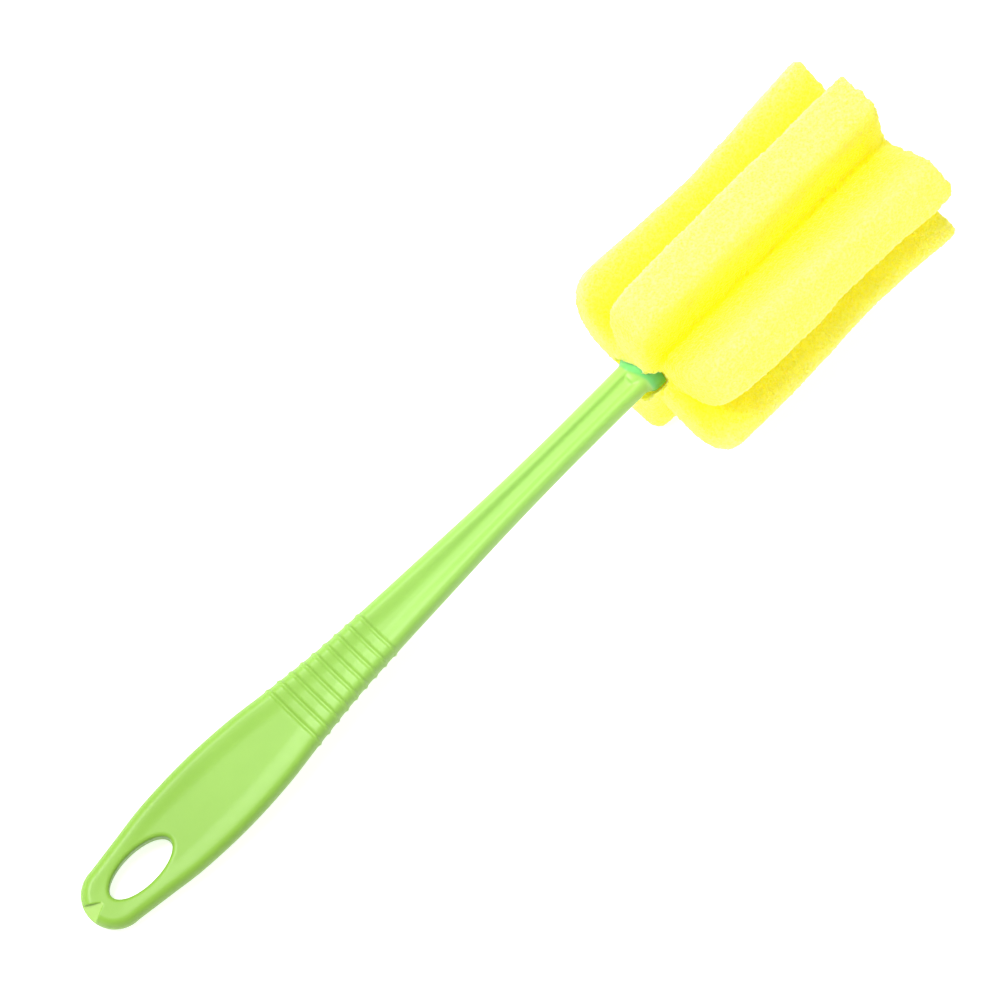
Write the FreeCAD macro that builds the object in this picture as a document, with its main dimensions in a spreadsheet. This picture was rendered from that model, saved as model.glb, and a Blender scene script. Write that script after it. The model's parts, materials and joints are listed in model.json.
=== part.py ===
"""Long-handled foam sponge brush: a moulded handle, a spindle, a six-lobed foam head and an end cap.

Every piece is drawn about the brush's own axis: x runs from the tail tip to the head, z points
to the front of the handle, and y is across it. At the end the pieces are laid down together, as
the brush rests on a table: on its tail and on two of the head's lobes. Sizes are millimetres.
"""

import FreeCAD, Part
import math
import os
import Sketcher

Vector = FreeCAD.Vector
Rotation = FreeCAD.Rotation
Placement = FreeCAD.Placement
X_AXIS = Vector(1, 0, 0)
Y_AXIS = Vector(0, 1, 0)
Z_AXIS = Vector(0, 0, 1)

os.makedirs("parts", exist_ok=True)
doc = FreeCAD.newDocument("sponge_brush")

# ---------------------------------------------------------------- driving dimensions

SIZES = {
    # handle
    "tail_radius": 7.9,
    "edge_round": 2.3,
    "section_step": 6.0,
    "hang_hole_at": 16.4,
    "hang_hole_length": 18.8,
    "hang_hole_width": 8.2,
    "hang_hole_rim": 1.0,
    "first_rib_at": 66.2,
    "rib_pitch": 3.39,
    "rib_count": 9,
    "rib_height": 0.4,
    "rib_reach": 0.95,
    "gate_cut_low": 0.4,
    "gate_cut_angle": 38.0,
    # collar at the top of the handle
    "flare_start": 177.3,
    "flare_root": 3.9,
    "flare_curve": 12.5,
    "rim_at": 183.7,
    "rim_radius": 5.9,
    "rim_land": 0.45,
    "dish_depth": 1.5,
    "dish_radius": 5.05,
    "socket_depth": 16.0,
    # spindle that carries the foam
    "fit_gap": 0.03,
    "plug_radius": 2.27,
    "plug_length": 15.4,
    "lead_in": 0.6,
    "flange_radius": 4.9,
    "flange_thick": 1.3,
    "rod_radius": 2.5,
    "barb_height": 0.7,
    "barb_length": 2.4,
    "first_barb_at": 191.0,
    "barb_pitch": 12.0,
    "barb_count": 5,
    "tip_radius": 1.9,
    "tip_length": 4.3,
    # end cap
    "cap_seat": 256.0,
    "cap_radius": 8.0,
    "cap_thick": 1.2,
    "cap_dome": 1.2,
    "cap_hub_radius": 3.2,
    "cap_hub_length": 3.6,
    # foam head
    "foam_start": 178.8,
    "foam_end": 260.0,
    "foam_radius": 27.0,
    "lobe_thick": 12.5,
    "lobe_count": 6,
    "lobe_edge_round": 3.0,
    "foam_corner": 9.0,
    "corner_reach": 27.3,
    "foam_bore_radius": 3.5,
    "foam_gap": 0.3,
}

# The handle's shape at places along it: half is half its width, crest is half its thickness at
# the two long rails, trough is how far its middle lies below them, and flat is the share of the
# trough's width that the floor takes.
STATION_FIELDS = ("at", "half", "crest", "trough", "flat")
STATIONS = {
    "shoulder": (7.9, 7.9, 3.05, 0.10, 0.55),
    "hole": (16.7, 9.1, 3.10, 0.22, 0.55),
    "swell": (26.8, 10.4, 3.15, 0.32, 0.55),
    "palm": (41.0, 10.9, 3.20, 0.36, 0.50),
    "heel": (54.8, 10.2, 3.30, 0.40, 0.45),
    "grip_low": (67.1, 8.65, 3.40, 0.46, 0.35),
    "grip_mid": (80.5, 7.2, 3.50, 0.52, 0.25),
    "grip_top": (94.8, 6.35, 3.60, 0.62, 0.15),
    "taper": (109.7, 5.7, 3.75, 0.72, 0.10),
    "channel": (131.6, 4.82, 3.90, 0.80, 0.25),
    "neck": (152.5, 4.42, 4.00, 0.75, 0.30),
    "neck_end": (180.6, 4.42, 4.00, 0.75, 0.30),
}

sheet = doc.addObject("Spreadsheet::Sheet", "sizes")


def fill_sheet():
    """One row for each driving dimension: its name in column A, its value with an alias in B."""
    rows = list(SIZES.items())
    for name, values in STATIONS.items():
        rows += [(name + "_" + field, value) for field, value in zip(STATION_FIELDS, values)]
    for row, (name, value) in enumerate(rows, start=1):
        sheet.set("A%d" % row, name)
        sheet.set("B%d" % row, str(value))
        sheet.setAlias("B%d" % row, name)
    doc.recompute()


def in_sheet(formula):
    """A formula whose words are aliases of the sheet, such as 'rim_at - dish_depth', as FreeCAD reads it."""
    return " ".join("sizes." + word if word[0].isalpha() else word for word in formula.split())


def size(formula):
    """The value of such a formula, as a plain number."""
    return float(sheet.evalExpression(in_sheet(formula)))


def bind(item, **formulas):
    """Ties properties of an object to formulas of the sheet."""
    for name, formula in formulas.items():
        item.setExpression(name.replace("__", "."), in_sheet(formula))


# ---------------------------------------------------------------- sketches and features

def origin_plane(body, role):
    return next(item for item in body.Origin.OriginFeatures if item.Role == role)


def arc_between(start, end, radius):
    """An arc from start to end, on the left of the way between them, or the right if radius is below 0."""
    chord = end - start
    left = Vector(-chord.y, chord.x, 0).normalize()
    sag = abs(radius) - math.sqrt(radius * radius - chord.Length ** 2 / 4)
    return Part.Arc(start, (start + end) / 2 + left * math.copysign(sag, radius), end)


def outline_sketch(body, name, role, corners):
    """A closed, fully constrained sketch on an origin plane of its body.

    Each corner is (formula along, formula up), with a third formula where the edge that leaves
    it is an arc of that radius.
    """
    sketch = body.newObject("Sketcher::SketchObject", name)
    sketch.AttachmentSupport = (origin_plane(body, role), [""])
    sketch.MapMode = "FlatFace"
    points = [Vector(size(corner[0]), size(corner[1]), 0) for corner in corners]
    ends = []
    for number, corner in enumerate(corners):
        start, end = points[number], points[(number + 1) % len(points)]
        arc = len(corner) > 2
        edge = arc_between(start, end, size(corner[2])) if arc else Part.LineSegment(start, end)
        geometry = sketch.addGeometry(edge, False)
        turned = sketch.getPoint(geometry, 1).distanceToPoint(start) > 1e-6
        ends.append((geometry, 2, 1) if turned else (geometry, 1, 2))
        if arc:
            radius = Sketcher.Constraint("Radius", geometry, abs(size(corner[2])))
            index = sketch.addConstraint(radius)
            sketch.setExpression("Constraints[%d]" % index, "abs(%s)" % in_sheet(corner[2]))
    for number, corner in enumerate(corners):
        geometry, first, _ = ends[number]
        before, _, last = ends[number - 1]
        sketch.addConstraint(Sketcher.Constraint("Coincident", before, last, geometry, first))
        place = (("DistanceX", corner[0], -2), ("DistanceY", corner[1], -1))
        for kind, formula, axis in place:
            value = size(formula)
            if abs(value) < 1e-9:
                sketch.addConstraint(Sketcher.Constraint("PointOnObject", geometry, first, axis))
                continue
            distance = Sketcher.Constraint(kind, -1, 1, geometry, first, value)
            index = sketch.addConstraint(distance)
            sketch.setExpression("Constraints[%d]" % index, in_sheet(formula))
    return sketch


def circle_sketch(body, name, radius, along):
    """A circle about the brush's axis, across it at a place along it."""
    sketch = body.newObject("Sketcher::SketchObject", name)
    sketch.AttachmentSupport = (origin_plane(body, "YZ_Plane"), [""])
    sketch.MapMode = "FlatFace"
    bind(sketch, AttachmentOffset__Base__z=along)
    circle = sketch.addGeometry(Part.Circle(Vector(), Z_AXIS, size(radius)), False)
    sketch.addConstraint(Sketcher.Constraint("Coincident", circle, 3, -1, 1))
    index = sketch.addConstraint(Sketcher.Constraint("Radius", circle, size(radius)))
    sketch.setExpression("Constraints[%d]" % index, in_sheet(radius))
    return sketch


def turned(body, kind, name, corners):
    """A Revolution or a Groove of an outline about the brush's axis."""
    feature = body.newObject("PartDesign::" + kind, name)
    sketch = outline_sketch(body, name + "_outline", "XZ_Plane", corners)
    feature.Profile = sketch
    feature.ReferenceAxis = (sketch, ["H_Axis"])
    feature.Angle = 360.0
    sketch.Visibility = False
    body.Tip = feature
    doc.recompute()
    return feature


def drill(body, name, radius, along, depth):
    """A round pocket about the axis that starts at a place along it and goes on by depth."""
    before = body.Shape.Volume
    feature = body.newObject("PartDesign::Pocket", name)
    feature.Profile = circle_sketch(body, name + "_outline", radius, along)
    bind(feature, Length=depth)
    feature.Reversed = True
    body.Tip = feature
    doc.recompute()
    if not body.Shape.Volume < before:
        raise RuntimeError(name + " removes nothing")
    return feature


# ---------------------------------------------------------------- handle

def handle_at(along):
    """(half, crest, trough, flat) at a place along the handle, on smooth curves through its stations."""
    table = [[size(name + "_" + field) for field in STATION_FIELDS] for name in STATIONS]
    last = len(table) - 2
    low = min(max(sum(row[0] <= along for row in table) - 1, 0), last)

    def slope(row, column):
        """The curve's slope at a station, from the stations on either side of it."""
        before, after = table[max(row - 1, 0)], table[min(row + 1, len(table) - 1)]
        return (after[column] - before[column]) / (after[0] - before[0])

    start, end = table[low], table[low + 1]
    span = end[0] - start[0]
    share = (along - start[0]) / span
    ease = share * share * (3 - 2 * share)
    leave = share * (1 - share) ** 2 * span
    arrive = share * share * (share - 1) * span
    return [
        start[c] + (end[c] - start[c]) * ease + slope(low, c) * leave + slope(low + 1, c) * arrive
        for c in range(1, len(STATION_FIELDS))
    ]


def smooth_edge(points, first, last):
    """A smooth edge through points that sets off along first and arrives along last."""
    curve = Part.BSplineCurve()
    even = [float(number) for number in range(len(points))]
    curve.interpolate(Points=points, Parameters=even, InitialTangent=first, FinalTangent=last)
    return curve.toShape()


def trough_fall(share, flat):
    """How much of the trough's depth is reached at a share of its half width: 1 on its floor, 0 at the rail."""
    if share <= flat:
        return 1.0
    return (1 + math.cos(math.pi * (share - flat) / (1 - flat))) / 2


def handle_section(along, half, crest, trough, flat):
    """The handle's outline at a place along it: front trough, rounded side, back trough, other side."""
    rail = half - min(size("edge_round"), 0.55 * half)
    shares = [step / 6 for step in range(-6, 7)]
    angles = [math.radians(step * 22.5) for step in range(-4, 5)]

    def face(side):
        """The trough, from one rail to the other, on the front (side 1) or the back (side -1)."""
        heights = [crest - trough * trough_fall(abs(share), flat) for share in shares]
        return [Vector(along, side * s * rail, side * z) for s, z in zip(shares, heights)]

    def flank(side):
        """The rounded side at y above 0 (side 1), from front to back, or the other, back to front."""
        return [
            Vector(along, side * (rail + (half - rail) * math.cos(a)), -side * crest * math.sin(a))
            for a in angles
        ]

    return Part.Wire([
        smooth_edge(face(1), Y_AXIS, Y_AXIS),
        smooth_edge(flank(1), Y_AXIS, -Y_AXIS),
        smooth_edge(face(-1), -Y_AXIS, -Y_AXIS),
        smooth_edge(flank(-1), -Y_AXIS, Y_AXIS),
    ])


def tail_sections():
    """The outlines round the handle's semicircular tail, up to its shoulder."""
    radius, edge = size("tail_radius"), size("edge_round")
    _, crest, trough, flat = handle_at(size("shoulder_at"))
    sections = []
    for degrees in (9, 24, 42, 64):
        turn = math.radians(degrees)
        along = radius * (1 - math.cos(turn))
        short = max(edge - along, 0) / edge
        thin = crest * math.sqrt(1 - short * short)
        depth = trough * along / radius
        sections.append(handle_section(along, radius * math.sin(turn), thin, depth, flat))
    return sections


def rib_rise(along):
    """How far the grip's ribs stand out at a place along the handle."""
    reach = size("rib_reach")
    centres = [size("first_rib_at") + n * size("rib_pitch") for n in range(int(size("rib_count")))]
    nearest = min(abs(along - centre) for centre in centres)
    return size("rib_height") * math.cos(math.pi / 2 * min(nearest / reach, 1)) ** 2


def widening(start, end):
    """Places from a rib out to an end of the handle, each gap twice the one before up to the plain step."""
    gap, step, place, places = size("rib_reach / 2"), size("section_step"), start, []
    way = 1 if end > start else -1
    while abs(end - place) > 1.5 * gap:
        place += way * gap
        places.append(place)
        gap = min(2 * gap, step)
    return places + [end]


def section_places():
    """Where the handle is sectioned: five times on each rib, then ever wider apart where it is plain."""
    first, pitch, reach = size("first_rib_at"), size("rib_pitch"), size("rib_reach")
    crests = [first + rib * pitch for rib in range(int(size("rib_count")))]
    ribs = [crest + part * reach / 2 for crest in crests for part in range(-2, 3)]
    before = widening(ribs[0], size("shoulder_at"))
    return before[::-1] + ribs + widening(ribs[-1], size("neck_end_at"))


def make_handle_skin():
    """The outer form, lofted through its outlines, because no sketch or primitive has this shape."""
    sections = tail_sections()
    for along in section_places():
        half, crest, trough, flat = handle_at(along)
        rise = rib_rise(along)
        sections.append(handle_section(along, half + rise, crest + rise, trough, flat))
    skin = doc.addObject("Part::Feature", "handle_skin")
    skin.Shape = Part.makeLoft(sections, True)
    return skin


def make_collar():
    """The trumpet-shaped collar that the foam sits on, with the dish that takes the spindle's flange."""
    body = doc.addObject("PartDesign::Body", "collar_form")
    floor = "rim_at - dish_depth"
    turned(body, "Revolution", "collar_turn", [
        ("flare_start - flare_root", "0"),
        ("flare_start", "flare_root", "0 - flare_curve"),
        ("rim_at", "rim_radius"),
        ("rim_at", "rim_radius - rim_land"),
        (floor, "dish_radius"),
        (floor, "0"),
    ])
    return body


def hole_rim_edges(shape):
    """The numbers of the closed edges where the hang hole breaks through the front and the back."""
    centre, long = size("hang_hole_at"), size("hang_hole_length / 2")
    wide = size("hang_hole_width / 2")
    numbers = []
    for number, edge in enumerate(shape.Edges, start=1):
        points = edge.discretize(9)
        reach = [((p.x - centre) / long) ** 2 + (p.y / wide) ** 2 for p in points]
        heights = [p.z for p in points]
        if max(abs(r - 1) for r in reach) < 0.02 and max(heights) - min(heights) < 1:
            numbers.append(number)
    return numbers


def make_handle():
    """One moulding: the outer form and its collar, with the hang hole, the socket and the gate mark."""
    moulding = doc.addObject("Part::MultiFuse", "handle_blank")
    moulding.Shapes = [make_handle_skin(), make_collar()]

    slot = doc.addObject("Part::Ellipse", "hang_hole_outline")
    bind(slot, MajorRadius="hang_hole_length / 2", MinorRadius="hang_hole_width / 2")
    bind(slot, Placement__Base__x="hang_hole_at")
    punch = doc.addObject("Part::Extrusion", "hang_hole_punch")
    punch.Base = slot
    punch.Dir = Z_AXIS
    bind(punch, LengthFwd="2 * palm_crest", LengthRev="2 * palm_crest")
    punch.Solid = True
    pierced = doc.addObject("Part::Cut", "pierced_blank")
    pierced.Base, pierced.Tool = moulding, punch
    doc.recompute()

    rimmed = doc.addObject("Part::Fillet", "rimmed_blank")
    rimmed.Base = pierced
    round_off = size("hang_hole_rim")
    rimmed.Edges = [(number, round_off, round_off) for number in hole_rim_edges(pierced.Shape)]

    socket = doc.addObject("Part::Cylinder", "spindle_socket")
    bind(socket, Radius="plug_radius + fit_gap", Height="socket_depth + dish_depth")
    socket.Placement = Placement(Vector(), Rotation(Y_AXIS, 90))
    bind(socket, Placement__Base__x="rim_at - dish_depth - socket_depth")
    drilled = doc.addObject("Part::Cut", "drilled_blank")
    drilled.Base, drilled.Tool = rimmed, socket

    knife = doc.addObject("Part::Box", "gate_cut")
    bind(knife, Length="tail_radius", Width="2 * tail_radius", Height="tail_radius")
    tilt = Rotation(Y_AXIS, -size("gate_cut_angle"))
    knife.Placement = Placement(Vector(0, -size("tail_radius"), size("gate_cut_low")), tilt)
    handle = doc.addObject("Part::Cut", "handle")
    handle.Base, handle.Tool = drilled, knife
    doc.recompute()
    return handle


# ---------------------------------------------------------------- spindle, foam and cap

def make_spindle():
    """The turned core: a plug in the handle's socket, a flange in its dish, a barbed rod and a tip."""
    body = doc.addObject("PartDesign::Body", "foam_spindle")
    floor = "rim_at - dish_depth"
    shoulder = "cap_seat - cap_hub_length"
    turned(body, "Revolution", "spindle_turn", [
        (floor + " - plug_length", "0"),
        (floor + " - plug_length", "plug_radius - lead_in"),
        (floor + " - plug_length + lead_in", "plug_radius"),
        (floor, "plug_radius"),
        (floor, "flange_radius"),
        (floor + " + flange_thick", "flange_radius"),
        (floor + " + flange_thick", "rod_radius"),
        (shoulder, "rod_radius"),
        (shoulder, "tip_radius"),
        (shoulder + " + tip_length - lead_in", "tip_radius"),
        (shoulder + " + tip_length", "tip_radius - lead_in"),
        (shoulder + " + tip_length", "0"),
    ])
    barb = turned(body, "Revolution", "barb", [
        ("first_barb_at", "rod_radius / 2"),
        ("first_barb_at", "rod_radius + barb_height"),
        ("first_barb_at + barb_length", "rod_radius"),
        ("first_barb_at + barb_length", "rod_radius / 2"),
    ])
    barbs = body.newObject("PartDesign::LinearPattern", "barbs")
    barbs.Originals = [barb]
    barbs.Direction = (origin_plane(body, "X_Axis"), [""])
    bind(barbs, Length="barb_pitch * ( barb_count - 1 )", Occurrences="barb_count")
    body.Tip = barbs
    doc.recompute()
    return body


def make_foam():
    """The foam block: six lobes about a bore, recessed for the collar and the cap."""
    body = doc.addObject("PartDesign::Body", "foam_head")
    lobe = body.newObject("PartDesign::Pad", "lobe")
    half = "lobe_thick / 2"
    sketch = outline_sketch(body, "lobe_outline", "YZ_Plane", [
        ("0 - " + half, "0"),
        (half, "0"),
        (half, "foam_radius - lobe_edge_round", "0 - lobe_edge_round"),
        (half + " - lobe_edge_round", "foam_radius"),
        ("lobe_edge_round - " + half, "foam_radius", "0 - lobe_edge_round"),
        ("0 - " + half, "foam_radius - lobe_edge_round"),
    ])
    bind(sketch, AttachmentOffset__Base__z="foam_start")
    sketch.AttachmentOffset = Placement(
        Vector(0, 0, size("foam_start")), Rotation(Z_AXIS, 180 / size("lobe_count"))
    )
    lobe.Profile = sketch
    bind(lobe, Length="foam_end - foam_start")
    body.Tip = lobe
    doc.recompute()
    lobes = body.newObject("PartDesign::PolarPattern", "lobes")
    lobes.Originals = [lobe]
    lobes.Axis = (origin_plane(body, "X_Axis"), [""])
    lobes.Angle = 360.0
    bind(lobes, Occurrences="lobe_count")
    body.Tip = lobes
    doc.recompute()
    turned(body, "Groove", "lower_corners", [
        ("foam_start", "corner_reach - foam_corner", "foam_corner"),
        ("foam_start + foam_corner", "corner_reach"),
        ("foam_start + foam_corner", "corner_reach + foam_corner"),
        ("foam_start - foam_corner", "corner_reach + foam_corner"),
        ("foam_start - foam_corner", "corner_reach - foam_corner"),
    ])
    drill(body, "bore", "foam_bore_radius", "foam_start", "foam_end - foam_start")
    drill(body, "collar_recess", "rim_radius + foam_gap", "foam_start",
          "rim_at + foam_gap - foam_start")
    drill(body, "cap_recess", "cap_radius + foam_gap", "cap_seat",
          "foam_end - cap_seat")
    return body


def make_cap():
    """The domed disc that keeps the foam on, with a hub that presses over the spindle's tip."""
    body = doc.addObject("PartDesign::Body", "end_cap")
    hub = "cap_seat - cap_hub_length"
    bore_end = hub + " + tip_length + fit_gap"
    dome_curve = "( cap_radius * cap_radius + cap_dome * cap_dome ) / ( 2 * cap_dome )"
    turned(body, "Revolution", "cap_turn", [
        (hub, "tip_radius + fit_gap"),
        (hub, "cap_hub_radius"),
        ("cap_seat", "cap_hub_radius"),
        ("cap_seat", "cap_radius"),
        ("cap_seat + cap_thick", "cap_radius", dome_curve),
        ("cap_seat + cap_thick + cap_dome", "0"),
        (bore_end, "0"),
        (bore_end, "tip_radius + fit_gap"),
    ])
    return body


# ---------------------------------------------------------------- laying down, checks and files

def lowest(shape, tilt):
    """How low a shape reaches once the brush is tilted head up by some degrees."""
    turned_shape = shape.copy()
    turned_shape.rotate(Vector(), Y_AXIS, -tilt)
    return turned_shape.optimalBoundingBox(False).ZMin


def resting_tilt(handle, foam):
    """The tilt at which the handle's tail and the foam's lobes touch the table together."""
    low, high = 0.0, 15.0
    while high - low > 1e-4:
        middle = (low + high) / 2
        if lowest(foam.Shape, middle) < lowest(handle.Shape, middle):
            low = middle
        else:
            high = middle
    return (low + high) / 2


def lay_down(pieces, tilt):
    """Tilts all the pieces as one, and puts the origin under the middle of the box they fill."""
    turn = Rotation(Y_AXIS, -tilt)
    together = Part.makeCompound([piece.Shape for piece in pieces])
    together.rotate(Vector(), Y_AXIS, -tilt)
    box = together.optimalBoundingBox(False)
    shift = Vector(-box.Center.x, -box.Center.y, -box.ZMin)
    for piece in pieces:
        piece.Placement = Placement(shift, turn)


def check(pieces):
    """Stops unless every object has been made and every piece is one sound solid."""
    for item in doc.Objects:
        if "Invalid" in item.State or "Error" in item.State:
            raise RuntimeError(item.Name + " is " + ", ".join(item.State))
    for piece in pieces:
        shape = piece.Shape
        if shape.isNull() or not shape.isValid() or len(shape.Solids) != 1:
            raise RuntimeError(piece.Label + " is not one sound solid")


def main():
    fill_sheet()
    pieces = {
        "handle": make_handle(),
        "foam_spindle": make_spindle(),
        "foam_head": make_foam(),
        "end_cap": make_cap(),
    }
    for name, piece in pieces.items():
        piece.Label = name
    doc.recompute()
    check(pieces.values())
    tilt = resting_tilt(pieces["handle"], pieces["foam_head"])
    lay_down(list(pieces.values()), tilt)
    check(pieces.values())
    hole = pieces["handle"].Placement.multVec(Vector(size("hang_hole_at"), 0, 0))
    print("rests tilted by %.3f degrees" % tilt)
    print("middle of the hang hole at %.2f %.2f %.2f" % tuple(hole))
    for piece in pieces.values():
        box = piece.Shape.BoundBox
        print("%-13s %9.1f mm3  x %7.2f %7.2f  y %6.2f %6.2f  z %6.2f %6.2f" % (
            piece.Label, piece.Shape.Volume, box.XMin, box.XMax, box.YMin, box.YMax, box.ZMin, box.ZMax
        ))
        piece.Shape.exportStep("parts/%s.step" % piece.Label)


main()
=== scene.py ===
"""The looks of the long-handled foam sponge brush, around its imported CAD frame.

The brush's own coordinates are used for shaping: x along its axis from the tail tip, z out of the
handle's front face, y across it. PLACE turns them into the row frame. Lengths are metres.
"""
import json
import math

import bpy
import numpy as np
from mathutils import Matrix, Vector


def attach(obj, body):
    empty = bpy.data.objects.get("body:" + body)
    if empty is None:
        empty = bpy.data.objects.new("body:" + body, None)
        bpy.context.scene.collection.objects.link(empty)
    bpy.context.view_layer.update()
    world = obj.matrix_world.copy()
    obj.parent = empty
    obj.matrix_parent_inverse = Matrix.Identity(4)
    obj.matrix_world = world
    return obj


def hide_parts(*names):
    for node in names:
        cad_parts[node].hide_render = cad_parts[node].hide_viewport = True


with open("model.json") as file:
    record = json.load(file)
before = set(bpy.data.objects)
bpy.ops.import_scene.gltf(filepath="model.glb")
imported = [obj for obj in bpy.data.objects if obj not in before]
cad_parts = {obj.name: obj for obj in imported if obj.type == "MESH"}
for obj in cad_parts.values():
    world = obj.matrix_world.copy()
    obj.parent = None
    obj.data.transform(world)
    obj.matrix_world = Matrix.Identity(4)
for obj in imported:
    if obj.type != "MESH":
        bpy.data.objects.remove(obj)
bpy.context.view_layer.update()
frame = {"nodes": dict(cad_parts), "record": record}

MM = 0.001

# ---------------------------------------------------------------- where the brush lies

hang_hole = next(m for m in frame["record"]["mounts"] if m["name"] == "hang_hole")
HOLE_FROM_TAIL = 16.4 * MM
UP = Vector(hang_hole["axis"]).normalized()
ACROSS = Vector((0, 1, 0))
ALONG = ACROSS.cross(UP).normalized()
TAIL = Vector(hang_hole["pos_m"]) - ALONG * HOLE_FROM_TAIL
PLACE = Matrix.Translation(TAIL) @ Matrix((ALONG, ACROSS, UP)).transposed().to_4x4()


# ---------------------------------------------------------------- shaping with distance fields

# A field's value at a point that is to count as inside, next to the surface.
JUST_INSIDE = 0.001 * MM


def clear_crossings(field):
    """Takes in one corner of each grid face whose corners lie crosswise inside and outside.

    Each such face would give the mesh an edge with four faces.
    """
    steps = ((0, 0), (1, 0), (1, 1), (0, 1))
    crossings = 1
    while crossings:
        crossings = 0
        for u, v in ((0, 1), (0, 2), (1, 2)):
            corners = []
            for step_u, step_v in steps:
                cut = [slice(None)] * 3
                cut[u] = slice(step_u, field.shape[u] - 1 + step_u)
                cut[v] = slice(step_v, field.shape[v] - 1 + step_v)
                corners.append(field[tuple(cut)] > 0)
            a, b, c, d = corners
            places = np.argwhere((a == c) & (b == d) & (a != b))
            crossings += len(places)
            for place in places:
                spots = np.repeat(place[None], 4, 0)
                spots[:, [u, v]] += steps
                outside = [tuple(spot) for spot in spots if field[tuple(spot)] <= 0]
                if len(outside) == 2:
                    field[max(outside, key=lambda spot: field[spot])] = JUST_INSIDE


def surface_net(field, low, cell):
    """Points and quads of the surface where a field on a grid goes from above 0 to below it."""
    inside = field > 0
    shape = tuple(n - 1 for n in field.shape)
    total = np.zeros(shape, np.float32)
    place = np.zeros(shape + (3,), np.float32)
    for axis in range(3):
        first = np.take(field, range(field.shape[axis] - 1), axis)
        second = np.take(field, range(1, field.shape[axis]), axis)
        crossed = (first > 0) != (second > 0)
        share = np.where(crossed, first / np.where(crossed, first - second, 1), 0)
        sides = [a for a in range(3) if a != axis]
        for u in (0, 1):
            for v in (0, 1):
                cut = [slice(None)] * 3
                cut[sides[0]] = slice(u, u + shape[sides[0]])
                cut[sides[1]] = slice(v, v + shape[sides[1]])
                hit = crossed[tuple(cut)]
                total += hit
                place[..., axis] += share[tuple(cut)]
                place[..., sides[0]] += hit * u
                place[..., sides[1]] += hit * v
    live = total > 0
    number = np.full(shape, -1, np.int64)
    number[live] = np.arange(live.sum())
    points = (np.argwhere(live) + place[live] / total[live][:, None]) * cell + low
    quads = []
    for axis in range(3):
        first = np.take(inside, range(field.shape[axis] - 1), axis)
        second = np.take(inside, range(1, field.shape[axis]), axis)
        u, v = [(1, 2), (2, 0), (0, 1)][axis]
        at = np.argwhere(first != second)
        at = at[(at[:, u] > 0) & (at[:, v] > 0) & (at[:, u] < shape[u]) & (at[:, v] < shape[v])]
        corners = []
        for back_u, back_v in ((1, 1), (0, 1), (0, 0), (1, 0)):
            near = at.copy()
            near[:, u] -= back_u
            near[:, v] -= back_v
            corners.append(number[tuple(near.T)])
        face = np.stack(corners, 1)
        flip = ~first[tuple(at.T)]
        face[flip] = face[flip][:, ::-1]
        quads.append(face)
    return points, np.concatenate(quads)


def settle(points, field, cell):
    """Moves points along the field's slope onto the place where it is 0."""
    step = 0.1 * cell
    for _ in range(3):
        value = field(points)
        slope = np.empty_like(points)
        for axis in range(3):
            ahead = points.copy()
            ahead[:, axis] += step
            slope[:, axis] = (field(ahead) - value) / step
        move = value[:, None] * slope / np.maximum((slope ** 2).sum(1), 1e-3)[:, None]
        length = np.linalg.norm(move, axis=1)[:, None]
        points = points - move * np.minimum(1, 0.5 * cell / np.maximum(length, 1e-12))
    return points


def split_quads(points, quads):
    """Triangles of quads, cut along the shorter diagonal.

    Where another quad is cut along the same line, the other diagonal is taken.
    """
    first, second = (points[quads[:, a]] - points[quads[:, a + 2]] for a in (0, 1))
    turned = np.linalg.norm(first, axis=1) > np.linalg.norm(second, axis=1)
    cut = np.where(turned[:, None], quads[:, [1, 3]], quads[:, [0, 2]])
    key = np.sort(cut, 1) @ np.array((len(points), 1))
    _, index, count = np.unique(key, return_inverse=True, return_counts=True)
    turned ^= count[index] > 1
    quads = np.where(turned[:, None], np.roll(quads, -1, axis=1), quads)
    return np.concatenate([quads[:, [0, 1, 2]], quads[:, [0, 2, 3]]])


def mesh_from_field(name, field, low, high, cell):
    """A closed mesh of the surface of a field, which is above 0 inside, in the row frame."""
    low, high = np.array(low), np.array(high)
    counts = np.ceil((high - low) / cell).astype(int) + 1
    sides = [low[a] + cell * np.arange(counts[a]) for a in range(3)]
    values = np.empty(counts)
    for row, x in enumerate(sides[0]):
        y, z = np.meshgrid(sides[1], sides[2], indexing="ij")
        layer = np.stack([np.full(y.size, x), y.ravel(), z.ravel()], 1)
        values[row] = field(layer).reshape(y.shape)
    clear_crossings(values)
    points, quads = surface_net(values, low, cell)
    points = settle(points, field, cell)
    faces = split_quads(points, quads)
    turn = np.array(PLACE.to_3x3())
    points = points @ turn.T + np.array(PLACE.translation)
    mesh = bpy.data.meshes.new(name)
    mesh.vertices.add(len(points))
    mesh.vertices.foreach_set("co", points.ravel().astype(np.float32))
    mesh.loops.add(faces.size)
    mesh.loops.foreach_set("vertex_index", faces.ravel().astype(np.int32))
    mesh.polygons.add(len(faces))
    mesh.polygons.foreach_set("loop_start", np.arange(0, faces.size, 3, dtype=np.int32))
    mesh.update(calc_edges=True)
    mesh.polygons.foreach_set("use_smooth", np.ones(len(faces), bool))
    mesh.validate()
    piece = bpy.data.objects.new(name, mesh)
    bpy.context.scene.collection.objects.link(piece)
    return piece


def own_places(piece):
    """A piece's points in the brush's own frame."""
    place = np.empty(len(piece.data.vertices) * 3, np.float32)
    piece.data.vertices.foreach_get("co", place)
    turn = np.array(PLACE.to_3x3())
    return (place.reshape(-1, 3) - np.array(PLACE.translation)) @ turn


def give_shade(piece, name, values):
    """Keeps one value per point of a piece for its material to read."""
    layer = piece.data.attributes.new(name, "FLOAT", "POINT")
    layer.data.foreach_set("value", values.astype(np.float32))


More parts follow.
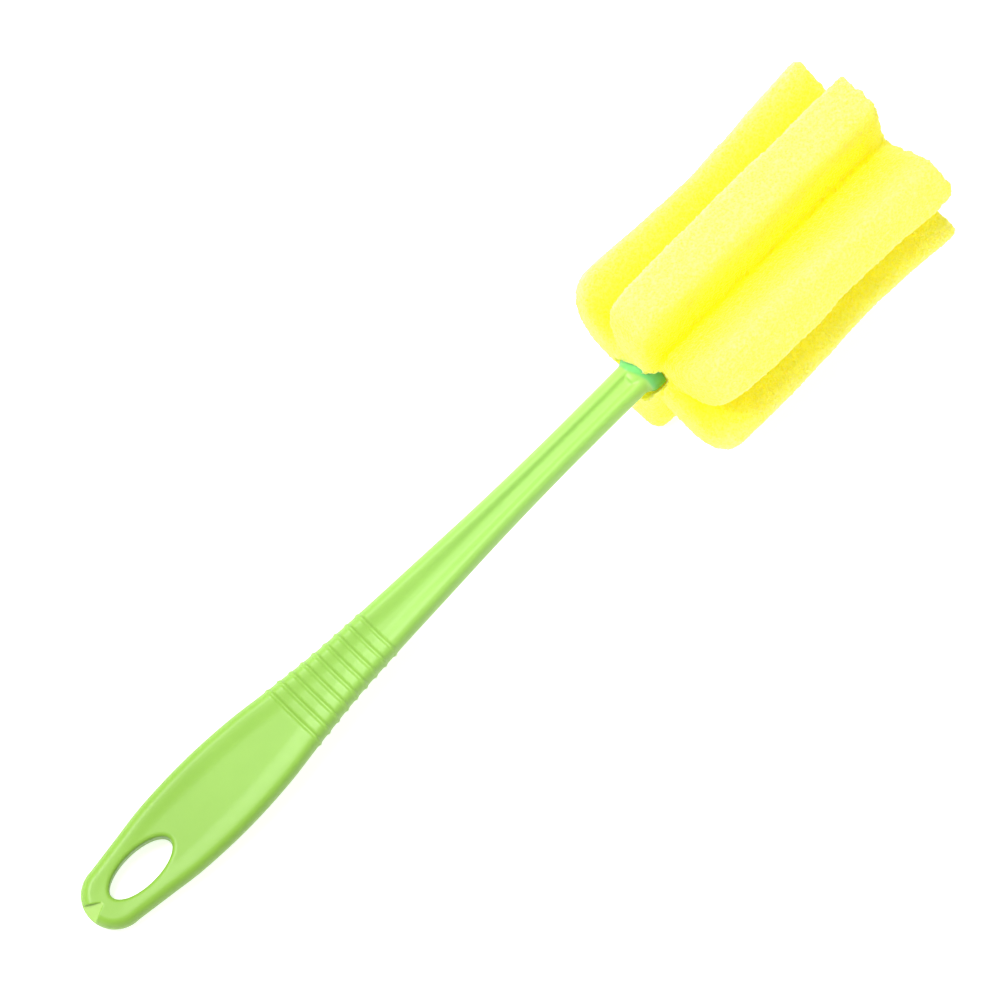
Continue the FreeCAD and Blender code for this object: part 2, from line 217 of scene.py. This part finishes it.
def waves(seed, wavelength, count=20):
    """A smooth random field about 1 high whose bumps are about a wavelength across."""
    draw = np.random.default_rng(seed)
    way = draw.normal(size=(count, 3))
    way /= np.linalg.norm(way, axis=1)[:, None]
    way *= 2 * np.pi / (wavelength * draw.uniform(0.75, 1.35, count))[:, None]
    phase = draw.uniform(0, 2 * np.pi, count)

    def value(points):
        return np.sin(points @ way.T + phase).sum(1) * (2 / count) ** 0.5

    return value


def soft_least(a, b, reach):
    """The lower of two fields, with the crease between them rounded over a reach."""
    share = np.clip(0.5 + 0.5 * (b - a) / reach, 0, 1)
    return b + (a - b) * share - reach * share * (1 - share)


def soft_most(a, b, reach):
    """The higher of two fields, with the crease between them filled over a reach."""
    return -soft_least(-a, -b, reach)


# ---------------------------------------------------------------- handle

# Millimetres, apart from slopes and shares, with places counted from the tail tip.
TAIL_RADIUS = 7.9
EDGE_ROUND = 2.3
EDGE_SHARE = 0.55
HOLE_AT = 16.4
HOLE_HALF_LONG = 9.4
HOLE_HALF_WIDE = 4.1
HOLE_RIM = 1.0
FIRST_RIB_AT = 66.2
RIB_PITCH = 3.39
RIB_COUNT = 9
RIB_HEIGHT = 0.45
RIB_SIDE_HEIGHT = 0.28
RIB_REACH = 0.8
FLARE_START = 177.3
FLARE_ROOT = 3.9
FLARE_KNEE = 0.62
FLARE_CURVED = 0.7
FLARE_STRAIGHT = 0.3
FLARE_SLOPE = 0.8
LIP_AT = 177.9
LIP_SKEW = 1.8
LIP_SKEW_FROM = 2.5
LIP_SKEW_OVER = 5.5
LIP_HEIGHT = 0.28
LIP_LENGTH = 0.35
COLLAR_BLEND = 0.35
RIM_AT = 183.7
RIM_RADIUS = 5.9
DISH_DEPTH = 1.5
DISH_RADIUS = 5.05
DISH_SLOPE = 0.27
SOCKET_RADIUS = 2.3
SOCKET_DEPTH = 16.0
GATE_REACH = 4.8
GATE_ASIDE = 0.3
GATE_LEFT_EDGE = 0.75
GATE_RIGHT_EDGE = 0.38
GATE_LOW = 0.5
GATE_SLOPE = 0.58
GATE_NEAR = 0.06
# Painted shade: over how long past the collar's lip the teal-green tint of the shade under the
# foam comes in.
COLLAR_SHADE_LENGTH = 0.5
# Painted light: from where along the handle, and over how long, it is painted lighter towards the
# neck, as if more light fell there.
NECK_LIGHT_FROM = 35
NECK_LIGHT_OVER = 105
HANDLE_CELL = 0.31
ROOM_AT_TAIL = 0.6
HALF_DEEP = 7

# Millimetres: place along, half the width, half the thickness at the rails, the trough's depth
# below them, and the share of its width that its floor takes.
STATIONS = np.array([
    (7.9, 7.9, 3.05, 0.10, 0.55),
    (16.7, 9.1, 3.10, 0.22, 0.55),
    (26.8, 10.4, 3.15, 0.32, 0.55),
    (41.0, 10.9, 3.20, 0.36, 0.50),
    (54.8, 10.2, 3.30, 0.40, 0.45),
    (67.1, 8.65, 3.40, 0.46, 0.35),
    (80.5, 7.2, 3.50, 0.52, 0.25),
    (94.8, 6.35, 3.60, 0.62, 0.15),
    (109.7, 5.7, 3.75, 0.72, 0.10),
    (131.6, 4.82, 3.90, 0.80, 0.25),
    (152.5, 4.42, 4.00, 0.75, 0.30),
    (180.6, 4.42, 4.00, 0.75, 0.30),
])


def through_stations():
    """Places along the handle, 0.1 mm apart, and the stations' values there on smooth curves."""
    at = STATIONS[:, 0]
    slope = np.empty_like(STATIONS[:, 1:])
    slope[1:-1] = (STATIONS[2:, 1:] - STATIONS[:-2, 1:]) / (at[2:] - at[:-2])[:, None]
    slope[0] = (STATIONS[1, 1:] - STATIONS[0, 1:]) / (at[1] - at[0])
    slope[-1] = (STATIONS[-1, 1:] - STATIONS[-2, 1:]) / (at[-1] - at[-2])
    places = np.arange(at[0], at[-1], 0.1)
    low = np.clip(np.searchsorted(at, places, "right") - 1, 0, len(at) - 2)
    span = (at[low + 1] - at[low])[:, None]
    share = (places - at[low])[:, None] / span
    rise = STATIONS[low + 1, 1:] - STATIONS[low, 1:]
    values = STATIONS[low, 1:] + rise * share ** 2 * (3 - 2 * share)
    values += slope[low] * share * (1 - share) ** 2 * span
    values += slope[low + 1] * share ** 2 * (share - 1) * span
    return places, values.T


CURVE_AT, CURVE_VALUES = through_stations()


def gate_wedge(x, y):
    """How far inside the wedge-shaped mark of the gate a point is, seen from the front."""
    back, aside = GATE_REACH - x, y - GATE_ASIDE
    return np.minimum(GATE_LEFT_EDGE * back - aside, GATE_RIGHT_EDGE * back + aside)


def past_lip(x, y):
    """How far past the collar's slightly skew lower edge a point is."""
    return x - LIP_AT - LIP_SKEW * np.clip((LIP_SKEW_FROM - y) / LIP_SKEW_OVER, 0, 1)


def handle_field(points):
    """How far inside the handle a point is; both are in metres, its sizes in millimetres."""
    x, y, z = points.T / MM
    half, crest, trough, flat = (np.interp(x, CURVE_AT, values) for values in CURVE_VALUES)
    rib = np.clip(np.round((x - FIRST_RIB_AT) / RIB_PITCH), 0, RIB_COUNT - 1)
    from_rib = np.abs(x - FIRST_RIB_AT - rib * RIB_PITCH)
    rise = np.cos(math.pi / 2 * np.minimum(from_rib / RIB_REACH, 1)) ** 2
    half = half + RIB_SIDE_HEIGHT * rise
    crest = crest + RIB_HEIGHT * rise
    short = np.maximum(TAIL_RADIUS - x, 0)
    trough = trough * np.clip(1 - short / TAIL_RADIUS, 0, 1)
    out = np.hypot(y, short)
    rail = half - np.minimum(EDGE_ROUND, EDGE_SHARE * half)
    edge = half - rail
    share = np.clip((out / rail - flat) / (1 - flat), 0, 1)
    depth = trough * (1 + np.cos(math.pi * share)) / 2
    face = crest - depth - np.abs(z)
    flank = crest * (1 - np.sqrt((np.maximum(out - rail, 0) / edge) ** 2 + (z / crest) ** 2))
    body = np.where(out < rail, face, flank)

    away = np.hypot(y, z)
    up = np.clip((x - FLARE_START) / (RIM_AT - FLARE_START), 0, 1)
    knee = np.clip(up / FLARE_KNEE, 0, 1)
    opened = FLARE_CURVED * knee ** 2 * (3 - 2 * knee) + FLARE_STRAIGHT * up
    flare = FLARE_ROOT - np.maximum(FLARE_START - x, 0) + (RIM_RADIUS - FLARE_ROOT) * opened
    flare = flare + LIP_HEIGHT * np.clip(past_lip(x, y) / LIP_LENGTH, 0, 1) * (1 - up)
    collar = (flare - away) * FLARE_SLOPE
    body = np.minimum(soft_most(body, collar, COLLAR_BLEND), RIM_AT - x)

    across = np.hypot((x - HOLE_AT) / HOLE_HALF_LONG, y / HOLE_HALF_WIDE)
    steep = np.hypot((x - HOLE_AT) / HOLE_HALF_LONG ** 2, y / HOLE_HALF_WIDE ** 2)
    wall = (across - 1) / np.maximum(steep / np.maximum(across, 1e-6), 1e-6)
    near = np.clip(1 - wall / HOLE_RIM, 0, 1)
    sunk = HOLE_RIM * (1 - np.sqrt(np.maximum(1 - near ** 2, 0)))
    rim = crest - depth - sunk - np.abs(z)
    body = np.minimum(body, np.where(wall < HOLE_RIM, np.minimum(rim, wall), body))

    facet = GATE_LOW + GATE_SLOPE * x - z
    body = np.minimum(body, np.where(z > 0, np.maximum(facet, -gate_wedge(x, y)), body))

    socket = np.minimum(SOCKET_RADIUS - away, x - (RIM_AT - DISH_DEPTH - SOCKET_DEPTH))
    in_dish = x - RIM_AT + DISH_DEPTH
    dish = np.minimum(DISH_RADIUS + DISH_SLOPE * in_dish - away, in_dish)
    return MM * np.minimum(body, -np.maximum(socket, dish))


def make_handle():
    wide = (STATIONS[:, 1].max() + 1) * MM
    low = (-ROOM_AT_TAIL * MM, -wide, -HALF_DEEP * MM)
    high = ((RIM_AT + 1) * MM, wide, HALF_DEEP * MM)
    handle = mesh_from_field("handle_skin", handle_field, low, high, HANDLE_CELL * MM)
    x, y, z = own_places(handle).T / MM
    # Painted shade: a teal-green tint past the collar's lip, where the collar lies in the foam's
    # shade.
    give_shade(handle, "collar", np.clip(past_lip(x, y) / COLLAR_SHADE_LENGTH, 0, 1))
    # Painted light: the handle gets lighter towards the neck, as if more light fell there.
    give_shade(handle, "neck_light", np.clip((x - NECK_LIGHT_FROM) / NECK_LIGHT_OVER, 0, 1))
    off_facet = np.abs(GATE_LOW + GATE_SLOPE * x - z)
    on_facet = (off_facet < GATE_NEAR) & (gate_wedge(x, y) > 0)
    give_shade(handle, "gate", on_facet)
    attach(handle, "root")
    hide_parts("handle")
    return handle


# ---------------------------------------------------------------- foam head

LOBES = 6
LOBE_THICK = 12.5 * MM
EDGE_SOFT = 3.6 * MM
LOW_END_SOFT = 3.5 * MM
HIGH_END_SOFT = 1.6 * MM
ROOT_ROUND = 1.2 * MM
LOBE_PAST_AXIS = 1.0 * MM
HEAD_RADIUS = 27.0 * MM
HEAD_LOW = 178.9 * MM
HEAD_HIGH = 260.0 * MM
COLLAR_GAP = 0.3 * MM
CAP_SEAT = 256.0 * MM
CAP_RADIUS = 8.0 * MM
BORE_RADIUS = 3.5 * MM
HEAD_TURN = -8.5
HEAD_SHIFT = -0.7 * MM
HEAD_DISH = 1.5 * MM
NOTCH_RADIUS = 8.4 * MM
NOTCH_SIDE = 3.8 * MM
NOTCH_END_SOFT = 0.8 * MM
NOTCH_SIDE_SOFT = 0.6 * MM
# Painted light and shade on the foam: how far out from the axis, and how near the ends, the paler
# lit colour takes over from the deeper yellow painted into the shaded valleys.
OPEN_FROM = 0.42
OPEN_OVER = 0.56
OPEN_ENDS = 7 * MM
OPEN_LOW_END = 1 * MM
OPEN_ENDS_MOST = 0.8
FOAM_CELL = 0.57 * MM
ROOM_AROUND = 4 * MM
ROOM_BELOW = 4 * MM
ROOM_ABOVE = 3 * MM

# For each lobe from the front left one on, over the left side and round the back. Degrees: how
# far it stands turned from its even place, and how much it twists on up to the top. Millimetres:
# how far up and in its lower corner is rounded off, how much lower and higher its ends are, how
# much further out its face is, and how hollow its face is at mid length.
LOBE_SHAPES = [
    # (turn, twist, corner up, corner in, lower, higher, out, hollow)
    (-0.5, -2.0, 9.0, 12.0, -1.3, 0.1, 0.0, 0.4),
    (0.0, 0.0, 10.5, 16.0, 0.2, -1.2, -0.5, 1.6),
    (0.0, 0.0, 9.0, 10.0, -4.6, -0.5, 0.0, 0.3),
    (-13.0, 5.0, 5.0, 6.0, 1.9, 0.0, 0.0, 0.3),
    (0.0, 0.0, 6.5, 8.5, -1.3, -3.0, 0.9, 0.6),
    (-3.0, -5.5, 11.0, 10.0, -4.3, 0.3, 0.5, 0.2),
]

# How uneven the cut foam is: a smooth random field and its height, from wide swells to the grain.
UNEVEN = [
    (waves(3, 40 * MM, 14), 0.16 * MM),
    (waves(5, 12 * MM), 0.07 * MM),
    (waves(7, 1.6 * MM, 26), 0.05 * MM),
]
END_UNEVEN = waves(11, 3.5 * MM)
END_UNEVEN_HEIGHT = 0.14 * MM
END_UNEVEN_REACH = 3 * MM

# How far the skin's points are moved at random.
NAP = 0.09 * MM
NAP_SEED = 17


def lobe_field(along, out, side, shape):
    """How far inside a lobe a point is.

    It lies along the head, out from the head's axis and to the lobe's side.
    """
    up, back, lower, higher, further, hollow = (value * MM for value in shape)
    from_low = along - (HEAD_LOW - lower)
    from_high = HEAD_HIGH + higher - HEAD_DISH * np.clip(1 - out / HEAD_RADIUS, 0, 1) - along
    middle = np.clip(from_low / (HEAD_HIGH - HEAD_LOW), 0, 1)
    from_tip = HEAD_RADIUS + further - hollow * np.sin(math.pi * middle) ** 2 - out
    corner = np.clip(1 - from_low / up, 0, 1)
    from_tip = from_tip - back * (1 - np.sqrt(1 - corner ** 2))
    from_side = LOBE_THICK / 2 - np.abs(side)
    edge = soft_least(from_tip, from_side, EDGE_SOFT)
    edge = soft_least(edge, from_low, LOW_END_SOFT)
    edge = soft_least(edge, from_high, HIGH_END_SOFT)
    return np.minimum(edge, out + LOBE_PAST_AXIS)


def lobe_axes(number, x, y, z):
    """How far out along a lobe and how far to its side a point is."""
    stand, twist = LOBE_SHAPES[number][:2]
    upward = np.clip((x - HEAD_LOW) / (HEAD_HIGH - HEAD_LOW), 0, 1)
    turn = np.radians(360 * (number + 0.5) / LOBES + HEAD_TURN + stand + twist * upward)
    return y * np.sin(turn) + z * np.cos(turn), y * np.cos(turn) - z * np.sin(turn)


def foam_field(points):
    """How far inside the foam head a point is."""
    x, y, z = points.T
    y = y - HEAD_SHIFT
    body = np.full(len(x), -LOBE_THICK)
    for number, (_, _, *shape) in enumerate(LOBE_SHAPES):
        out, side = lobe_axes(number, x, y, z)
        lobe = np.where(out > -LOBE_THICK / 2, lobe_field(x, out, side, shape), -LOBE_THICK)
        body = soft_most(body, lobe, ROOT_ROUND)
    for wave, height in UNEVEN:
        body = body + height * wave(points)
    ends = np.clip((x - HEAD_HIGH + END_UNEVEN_REACH) / END_UNEVEN_REACH, 0, 1)
    body = body + ends * END_UNEVEN_HEIGHT * END_UNEVEN(points)
    away = np.hypot(y + HEAD_SHIFT, z)
    bore = BORE_RADIUS - away
    collar_radius = RIM_RADIUS * MM + COLLAR_GAP
    collar = np.minimum(collar_radius - away, RIM_AT * MM + COLLAR_GAP - x)
    cap = np.minimum(CAP_RADIUS + COLLAR_GAP - away, x - CAP_SEAT)
    _, side = lobe_axes(0, x, y, z)
    notch = soft_least(NOTCH_RADIUS - away, RIM_AT * MM + COLLAR_GAP - x, NOTCH_END_SOFT)
    beside = soft_least(-side - NOTCH_SIDE, z, NOTCH_SIDE_SOFT)
    notch = soft_least(notch, beside, NOTCH_SIDE_SOFT)
    return np.minimum(body, -np.maximum.reduce((bore, collar, cap, notch)))


def make_foam():
    reach = HEAD_RADIUS + ROOM_AROUND
    low = (HEAD_LOW - ROOM_BELOW, -reach, -reach)
    high = (HEAD_HIGH + ROOM_ABOVE, reach, reach)
    foam = mesh_from_field("foam_head_skin", foam_field, low, high, FOAM_CELL)
    count = len(foam.data.vertices)
    place = np.empty(count * 3, np.float32)
    foam.data.vertices.foreach_get("co", place)
    nap = np.random.default_rng(NAP_SEED).normal(0, NAP, (count, 3))
    place = place.reshape(-1, 3) + nap
    place[:, 2] = np.maximum(place[:, 2], 0.0)
    foam.data.vertices.foreach_set("co", place.ravel().astype(np.float32))
    foam.data.update()
    # Painted light and shade: the share of the paler lit foam colour rises out from the axis and
    # near the ends, where more light falls; in towards the axis the valleys get a deeper
    # painted-shade yellow.
    x, y, z = own_places(foam).T
    share = np.hypot(y - HEAD_SHIFT, z) / HEAD_RADIUS
    painted_light_share = np.clip((share - OPEN_FROM) / OPEN_OVER, 0, 1) ** 2
    from_end = np.minimum(x - HEAD_LOW + OPEN_LOW_END, HEAD_HIGH - x)
    ends = np.clip(1 - from_end / OPEN_ENDS, 0, 1)
    give_shade(foam, "painted_light_share", np.maximum(painted_light_share, OPEN_ENDS_MOST * ends))
    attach(foam, "root")
    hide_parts("foam_head")
    return foam


# ---------------------------------------------------------------- materials

class Paint:
    """A material's node tree, with short calls to add and join nodes."""

    def __init__(self, name):
        self.material = bpy.data.materials.new(name)
        self.material.use_nodes = True
        self.tree = self.material.node_tree
        self.shader = self.tree.nodes["Principled BSDF"]
        self.place = self.add("ShaderNodeTexCoord").outputs["Object"]

    def add(self, kind, **values):
        node = self.tree.nodes.new(kind)
        for name, value in values.items():
            setattr(node, name, value)
        return node

    def join(self, source, target):
        self.tree.links.new(source, target)

    def set(self, **values):
        for name, value in values.items():
            self.shader.inputs[name.replace("_", " ")].default_value = value

    def noise(self, scale, detail, roughness, stretch=None):
        node = self.add("ShaderNodeTexNoise")
        node.inputs["Scale"].default_value = scale
        node.inputs["Detail"].default_value = detail
        node.inputs["Roughness"].default_value = roughness
        place = self.place
        if stretch is not None:
            mapping = self.add("ShaderNodeMapping")
            mapping.inputs["Scale"].default_value = stretch
            self.join(place, mapping.inputs["Vector"])
            place = mapping.outputs["Vector"]
        self.join(place, node.inputs["Vector"])
        return node.outputs["Fac"]

    def ramp(self, source, stops):
        node = self.add("ShaderNodeValToRGB")
        points = node.color_ramp.elements
        while len(points) < len(stops):
            points.new(0.5)
        for point, (place, colour) in zip(points, stops):
            point.position = place
            point.color = (*colour, 1)
        self.join(source, node.inputs["Fac"])
        return node.outputs["Color"]

    def span(self, source, low, high):
        """A value from 0 to 1 stretched to go from low to high."""
        node = self.add("ShaderNodeMapRange")
        node.inputs["To Min"].default_value = low
        node.inputs["To Max"].default_value = high
        self.join(source, node.inputs["Value"])
        return node.outputs["Result"]

    def attribute(self, name):
        return self.add("ShaderNodeAttribute", attribute_name=name).outputs["Fac"]

    def mix(self, share, first, second):
        """One colour going over into another as the share goes from 0 to 1."""
        node = self.add("ShaderNodeMix", data_type="RGBA")
        ways_in = {socket.name: socket for socket in node.inputs if socket.enabled}
        self.join(share, ways_in["Factor"])
        for name, colour in (("A", first), ("B", second)):
            if isinstance(colour, tuple):
                ways_in[name].default_value = (*colour, 1)
            else:
                self.join(colour, ways_in[name])
        return next(socket for socket in node.outputs if socket.enabled)

    def total(self, first, second):
        node = self.add("ShaderNodeMath", operation="ADD")
        self.join(first, node.inputs[0])
        self.join(second, node.inputs[1])
        return node.outputs[0]

    def bump(self, height, distance, strength, normal=None):
        node = self.add("ShaderNodeBump")
        node.inputs["Distance"].default_value = distance
        node.inputs["Strength"].default_value = strength
        self.join(height, node.inputs["Height"])
        if normal is not None:
            self.join(normal, node.inputs["Normal"])
        return node.outputs["Normal"]


GATE_COLOUR = (0.33, 0.52, 0.13)


def plastic(name, dark, light, neck_light=None, collar=None):
    """Moulded polypropylene: even colour with faint clouding, a fine skin and a soft gloss.

    Painted light makes it lighter towards the neck; painted shade tints the collar teal-green.
    """
    paint = Paint(name)
    paint.set(IOR=1.49, Specular_IOR_Level=0.4, Subsurface_Weight=0.12, Subsurface_Scale=0.0015)
    paint.shader.inputs["Subsurface Radius"].default_value = (0.8, 1.0, 0.4)
    clouds = paint.noise(90, 3, 0.55, (0.35, 1, 1))
    colour = paint.ramp(clouds, [(0.3, dark), (0.7, light)])
    if collar is not None:
        # Painted light: a lighter copy of the green for the neck.
        lit_neck = paint.ramp(clouds, [(0.3, neck_light), (0.7, tuple(1.06 * share for share in neck_light))])
        colour = paint.mix(paint.attribute("neck_light"), colour, lit_neck)
        # Painted shade: the teal-green tint on the collar under the foam.
        colour = paint.mix(paint.attribute("collar"), colour, collar)
        colour = paint.mix(paint.attribute("gate"), colour, GATE_COLOUR)
    paint.join(colour, paint.shader.inputs["Base Color"])
    scuffs = paint.noise(900, 4, 0.6)
    paint.join(paint.span(scuffs, 0.38, 0.52), paint.shader.inputs["Roughness"])
    skin = paint.bump(paint.noise(2600, 3, 0.5), 0.00003, 0.25)
    flow = paint.bump(paint.noise(160, 2, 0.5, (0.25, 1, 1)), 0.0002, 0.12, skin)
    paint.join(flow, paint.shader.inputs["Normal"])
    return paint.material


def foam_material():
    """Open-cell polyurethane foam: pores of about half a millimetre in a yellow skeleton."""
    paint = Paint("yellow_foam")
    paint.set(Roughness=0.95, IOR=1.35, Subsurface_Weight=0.9, Subsurface_Scale=0.012)
    paint.set(Specular_IOR_Level=0.1, Sheen_Weight=0.18, Sheen_Roughness=0.45)
    paint.shader.inputs["Subsurface Radius"].default_value = (1.0, 0.85, 0.2)
    cells = paint.add("ShaderNodeTexVoronoi", feature="SMOOTH_F1")
    cells.inputs["Scale"].default_value = 1500
    cells.inputs["Smoothness"].default_value = 0.5
    paint.join(paint.place, cells.inputs["Vector"])
    wall = paint.span(cells.outputs["Distance"], 0.1, 0.75)
    pores = paint.total(wall, paint.span(paint.noise(2600, 3, 0.6), -0.35, 0.35))
    # Painted light: the paler colour of the foam's lit faces far out from the axis.
    painted_lit_tint = paint.ramp(pores, [
        (0.15, (0.93, 0.82, 0.09)),
        (0.5, (0.985, 0.94, 0.21)),
        (0.9, (1.0, 0.97, 0.30)),
    ])
    # Painted shade: a deeper, more saturated yellow for the valleys near the axis, where light
    # only arrives after bouncing between the foam walls.
    painted_shade_tint = paint.ramp(pores, [
        (0.15, (0.95, 0.80, 0.005)),
        (0.5, (0.99, 0.92, 0.014)),
        (0.9, (1.0, 0.96, 0.028)),
    ])
    tint = paint.mix(paint.attribute("painted_light_share"), painted_shade_tint, painted_lit_tint)
    paint.join(tint, paint.shader.inputs["Base Color"])
    # Painted light: a faint yellow glow standing in for light scattered deep inside the open foam.
    paint.set(Emission_Color=(1.0, 0.81, 0.0, 1), Emission_Strength=0.18)
    coarse = paint.bump(paint.noise(420, 2, 0.5), 0.0005, 0.35)
    paint.join(paint.bump(pores, 0.0008, 1.0, coarse), paint.shader.inputs["Normal"])
    return paint.material


def dress(piece, material):
    piece.data.materials.clear()
    piece.data.materials.append(material)


def floor_material():
    paint = Paint("pale_floor")
    paint.set(Roughness=0.9, Emission_Color=(1, 1, 1, 1), Emission_Strength=0.7)
    greys = [(0.3, (0.70, 0.70, 0.70)), (0.7, (0.73, 0.73, 0.73))]
    paint.join(paint.ramp(paint.noise(3, 2, 0.5), greys), paint.shader.inputs["Base Color"])
    return paint.material


# ---------------------------------------------------------------- stage, light and camera

VIEW_TILT = math.radians(9.0)
VIEW_ROLL = math.radians(7.0)
VIEW_DISTANCE = 2000 * MM
VIEW_WIDTH = 232.1 * MM
VIEW_CENTRE = Vector((136.3 * MM, 1.93 * MM, 0))
AXIS_ANGLE = math.radians(44.9)
HEAD_FRONT = Vector((224 * MM, 0, 8 * MM))
SENSOR = 36.0
FLOOR_REACH = 3.0
FLOOR_GAP = 0.0001


def view_frame():
    """The camera's right, up and backward directions in the row frame."""
    back = Vector((
        -math.sin(VIEW_TILT),
        -math.cos(VIEW_TILT) * math.sin(VIEW_ROLL),
        math.cos(VIEW_TILT) * math.cos(VIEW_ROLL),
    ))
    back = PLACE.to_3x3() @ back
    along = (ALONG - back * ALONG.dot(back)).normalized()
    left = back.cross(along)
    right = along * math.cos(AXIS_ANGLE) - left * math.sin(AXIS_ANGLE)
    up = along * math.sin(AXIS_ANGLE) + left * math.cos(AXIS_ANGLE)
    return right, up, back


def make_camera():
    right, up, back = view_frame()
    data = bpy.data.cameras.new("camera")
    data.sensor_width = SENSOR
    data.lens = SENSOR * VIEW_DISTANCE / VIEW_WIDTH
    data.clip_start = 0.05
    data.clip_end = 20
    camera = bpy.data.objects.new("camera", data)
    bpy.context.scene.collection.objects.link(camera)
    turn = Matrix((right, up, back)).transposed().to_4x4()
    camera.matrix_world = Matrix.Translation(PLACE @ VIEW_CENTRE + back * VIEW_DISTANCE) @ turn
    bpy.context.scene.camera = camera


def area_light(name, direction, distance, size, power):
    """A soft square light that looks at the brush's middle from a direction."""
    data = bpy.data.lights.new(name, "AREA")
    data.shape = "SQUARE"
    data.size = size
    data.energy = power
    light = bpy.data.objects.new(name, data)
    bpy.context.scene.collection.objects.link(light)
    direction = Vector(direction).normalized()
    light.location = direction * distance
    light.rotation_euler = direction.to_track_quat("Z", "Y").to_euler()


def spot_light(name, target, direction, distance, power):
    """A soft narrow light on one place."""
    data = bpy.data.lights.new(name, "SPOT")
    data.energy = power
    data.spot_size = math.radians(17)
    data.spot_blend = 0.9
    data.shadow_soft_size = 0.1
    light = bpy.data.objects.new(name, data)
    bpy.context.scene.collection.objects.link(light)
    direction = Vector(direction).normalized()
    light.location = target + direction * distance
    light.rotation_euler = direction.to_track_quat("Z", "Y").to_euler()


# How high the bright band at the horizon ends, and how bright it and the rest are.
SKY = {"From Min": 0.04, "From Max": 0.08, "To Min": 1.1, "To Max": 0.38}


def make_surroundings():
    """White surroundings, soft above and bright as the floor in a narrow band at the horizon."""
    world = bpy.data.worlds.new("studio")
    bpy.context.scene.world = world
    world.use_nodes = True
    nodes, links = world.node_tree.nodes, world.node_tree.links
    direction = nodes.new("ShaderNodeSeparateXYZ")
    links.new(nodes.new("ShaderNodeTexCoord").outputs["Generated"], direction.inputs[0])
    height = nodes.new("ShaderNodeMath")
    height.operation = "ABSOLUTE"
    links.new(direction.outputs["Z"], height.inputs[0])
    band = nodes.new("ShaderNodeMapRange")
    for name, value in SKY.items():
        band.inputs[name].default_value = value
    links.new(height.outputs[0], band.inputs["Value"])
    links.new(band.outputs["Result"], nodes["Background"].inputs["Strength"])
    nodes["Background"].inputs["Color"].default_value = (1, 1, 1, 1)


def make_stage():
    """The floor, the white surroundings and the lights: two soft ones and one on the foam head."""
    mesh = bpy.data.meshes.new("floor")
    far = FLOOR_REACH
    corners = [(-far, -far, 0), (far, -far, 0), (far, far, 0), (-far, far, 0)]
    mesh.from_pydata(corners, [], [(0, 1, 2, 3)])
    floor = bpy.data.objects.new("floor", mesh)
    bpy.context.scene.collection.objects.link(floor)
    floor.location.z = -FLOOR_GAP
    dress(floor, floor_material())
    make_surroundings()
    right, up, back = view_frame()
    area_light("key", back + up * 0.38 - right * 0.45, distance=1.2, size=0.6, power=21)
    area_light("fill", back + up * 0.1 + right * 0.9, distance=1.5, size=1.2, power=3.0)
    from_side = back + right * 0.65 - up * 0.55
    spot_light("head_fill", PLACE @ HEAD_FRONT, from_side, distance=0.6, power=3.6)


# ---------------------------------------------------------------- everything together

make_camera()
make_stage()
foam = make_foam()
dress(foam, foam_material())
green = plastic(
    "green_polypropylene",
    (0.198, 0.385, 0.040),
    (0.215, 0.412, 0.047),
    # Painted light: the lighter green that the handle goes over into towards the neck.
    neck_light=(0.285, 0.535, 0.098),
    # Painted shade: the teal-green of the collar in the foam's shade.
    collar=(0.13, 0.50, 0.12),
)
white = plastic("natural_polypropylene", (0.60, 0.61, 0.58), (0.66, 0.67, 0.64))
dress(make_handle(), green)
for node, material in (("end_cap", green), ("foam_spindle", white)):
    part = frame["nodes"][node]
    part.data.polygons.foreach_set("use_smooth", [True] * len(part.data.polygons))
    dress(part, material)
bpy.context.scene.view_settings.view_transform = "Standard"
